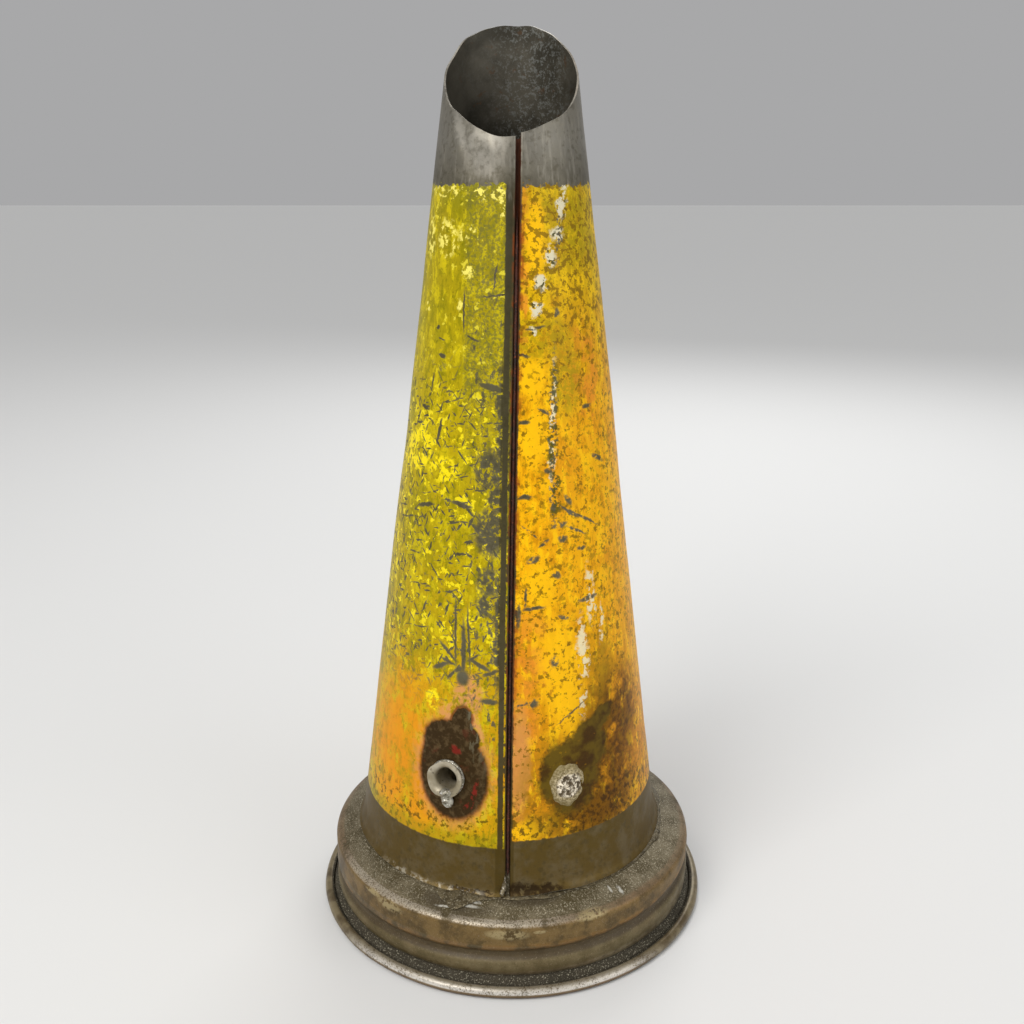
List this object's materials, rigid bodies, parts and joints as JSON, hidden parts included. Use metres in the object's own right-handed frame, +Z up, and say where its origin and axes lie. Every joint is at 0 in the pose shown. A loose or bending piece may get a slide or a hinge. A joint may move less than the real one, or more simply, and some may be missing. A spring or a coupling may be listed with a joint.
{
  "type": "bottle pouring spout",
  "caption": "Tall tinplate cone spout with an oblique mouth, a lock seam, a side air vent and a soldered screw collar that fits a wide-neck oil bottle.",
  "frame": {"origin": "centre of the underside of the collar's curled hem, where the spout stands", "axes": "+Z up the spout's axis to the mouth, -Y towards the lock seam, vent and short side of the mouth, +X to the right of the seam seen from outside"},
  "size_m": [0.07, 0.07, 0.15],
  "materials": {
    "printed_tinplate": "worn yellow lithographed tinplate, rust-flecked and stained",
    "bare_tinplate": "aged bare tinplate, dull with brown lacquer and rust",
    "vent_tinplate": "aged bare tinplate, bright on the lip",
    "dull_solder": "dull grainy soft solder",
    "rusted_solder": "rust-stained solder",
    "bright_solder": "soft solder, satin",
    "crumbled_solder": "crumbled oxidised solder",
    "cork": "oil-stained cork"
  },
  "bodies": {
    "root": {"spout_cone": "printed_tinplate", "screw_collar": "bare_tinplate", "collar_solder": "dull_solder", "seam_solder": "rusted_solder", "seam_foot_solder": "bright_solder", "vent_tube": "vent_tinplate", "vent_solder": "bright_solder", "plug_solder": "crumbled_solder", "sealing_washer": "cork"}
  },
  "joints": []
}
